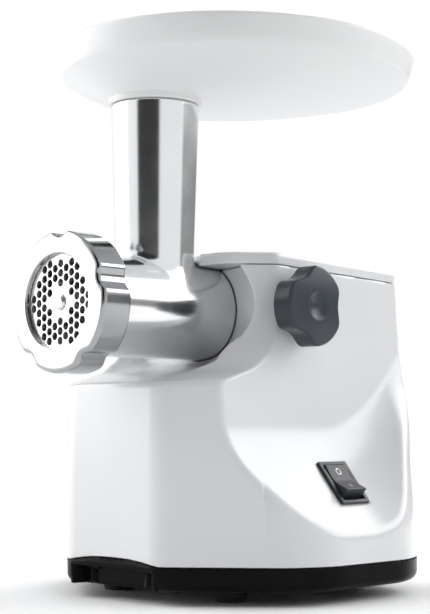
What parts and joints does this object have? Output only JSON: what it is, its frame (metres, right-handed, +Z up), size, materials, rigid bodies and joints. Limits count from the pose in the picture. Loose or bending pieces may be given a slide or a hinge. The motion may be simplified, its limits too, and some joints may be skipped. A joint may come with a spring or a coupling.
{
  "type": "electric meat grinder",
  "caption": "Table-top electric meat grinder: chin-shaped motor housing, cast grinding head with perforated plate and ring nut, oval tray, clamp knob and rocker switch.",
  "frame": {"origin": "centre of the overall box on the surface the feet stand on", "axes": "+Z up, the grinding head points along -Y, the switch and clamp knob are on +X"},
  "size_m": [0.22, 0.2712, 0.34],
  "materials": {
    "white_gloss": "gloss",
    "white_satin": "satin",
    "black_plastic": "gloss",
    "black_rubber": "matte",
    "slate_plastic": "satin",
    "polished_aluminium": "polished",
    "plate_steel": "ground",
    "steel": "machined",
    "brass": "machined",
    "copper": "enamelled",
    "iron": "laminated",
    "cast_alloy": "as cast",
    "nylon": "satin",
    "carbon": "matte",
    "film_case": "satin"
  },
  "bodies": {
    "root": {"housing": "white_gloss", "top_cover": "white_gloss", "base_pan": "black_plastic", "feet": "black_rubber", "base_screws": "steel", "lock_bushing": "brass", "outlet_collar": "cast_alloy", "output_bearings": "brass", "idler_bushes": "brass", "gearbox_case": "cast_alloy", "gearbox_cover": "cast_alloy", "gearbox_screws": "steel", "stator_core": "iron", "field_coils": "copper", "front_bracket": "black_plastic", "stator_bolts": "steel", "brush_holders": "brass", "carbon_brushes": "carbon", "motor_bearings": "steel", "switch_frame": "black_plastic", "switch_block": "black_plastic", "capacitor": "film_case", "terminal_block": "nylon", "cord_gland": "black_rubber"},
    "head": {"grinder_head": "polished_aluminium", "head_bush": "brass", "plate_key": "steel"},
    "tray_body": {"tray": "white_satin"},
    "plate": {"cutting_plate": "plate_steel"},
    "nut": {"ring_nut": "polished_aluminium"},
    "auger_body": {"auger": "cast_alloy", "plate_pin": "plate_steel", "auger_shank": "steel", "knife": "steel"},
    "clamp_pad": {"lock_pad": "nylon"},
    "clamp_knob": {"lock_knob": "slate_plastic", "lock_screw": "steel"},
    "rocker": {"switch_rocker": "black_plastic"},
    "rotor": {"motor_pinion": "steel", "motor_shaft": "steel", "rotor_core": "iron", "rotor_windings": "copper", "commutator": "copper", "cooling_fan": "black_plastic"},
    "lay_shaft_b": {"first_gear": "nylon", "first_shaft": "steel"},
    "lay_shaft_a": {"second_gear": "steel", "second_shaft": "steel"},
    "output": {"drive_socket": "steel", "output_gear": "steel"}
  },
  "joints": [
    {"name": "head_slide", "type": "slide", "parent": "root", "child": "head", "axis": [0, -1, 0], "range_m": [0, 0.05]},
    {"name": "tray_lift", "type": "slide", "parent": "head", "child": "tray_body", "axis": [0, 0, 1], "range_m": [0, 0.06]},
    {"name": "plate_out", "type": "slide", "parent": "head", "child": "plate", "axis": [0, -1, 0], "range_m": [0, 0.012]},
    {"name": "nut_turn", "type": "hinge", "parent": "plate", "child": "nut", "pos_m": [0, -0.1255, 0.1725], "axis": [0, -1, 0], "range_deg": [0, 1080.01]},
    {"name": "auger_spin", "type": "hinge", "parent": "head", "child": "auger_body", "pos_m": [0, -0.0755, 0.1725], "axis": [0, 1, 0], "continuous": true},
    {"name": "clamp_travel", "type": "slide", "parent": "root", "child": "clamp_pad", "axis": [1, 0, 0], "range_m": [0, 0.004]},
    {"name": "clamp_turn", "type": "hinge", "parent": "clamp_pad", "child": "clamp_knob", "pos_m": [0.074, -0.0095, 0.1725], "axis": [1, 0, 0], "range_deg": [0, 720.01]},
    {"name": "rocker_tilt", "type": "hinge", "parent": "root", "child": "rocker", "pos_m": [0.08415, 0.0145, 0.06597], "axis": [0, 1, 0], "range_deg": [0, 22]},
    {"name": "rotor_spin", "type": "hinge", "parent": "root", "child": "rotor", "pos_m": [0, -0.0355, 0.0765], "axis": [0, 1, 0], "continuous": true},
    {"name": "lay_b_spin", "type": "hinge", "parent": "root", "child": "lay_shaft_b", "pos_m": [-0.00666, 0.0295, 0.1078], "axis": [0, 1, 0], "continuous": true},
    {"name": "lay_a_spin", "type": "hinge", "parent": "root", "child": "lay_shaft_a", "pos_m": [0, 0.0145, 0.14025], "axis": [0, 1, 0], "continuous": true},
    {"name": "output_spin", "type": "hinge", "parent": "root", "child": "output", "pos_m": [0, 0.0095, 0.1725], "axis": [0, 1, 0], "continuous": true}
  ],
  "couplings": [
    {"joint": "nut_turn", "follows": "plate_out", "rad_per_m": 1570.8},
    {"joint": "clamp_turn", "follows": "clamp_travel", "rad_per_m": 3141.6},
    {"joint": "lay_b_spin", "follows": "rotor_spin", "ratio": -0.18519},
    {"joint": "lay_a_spin", "follows": "rotor_spin", "ratio": 0.048501},
    {"joint": "output_spin", "follows": "rotor_spin", "ratio": -0.016672},
    {"joint": "auger_spin", "follows": "rotor_spin", "ratio": -0.016672}
  ]
}
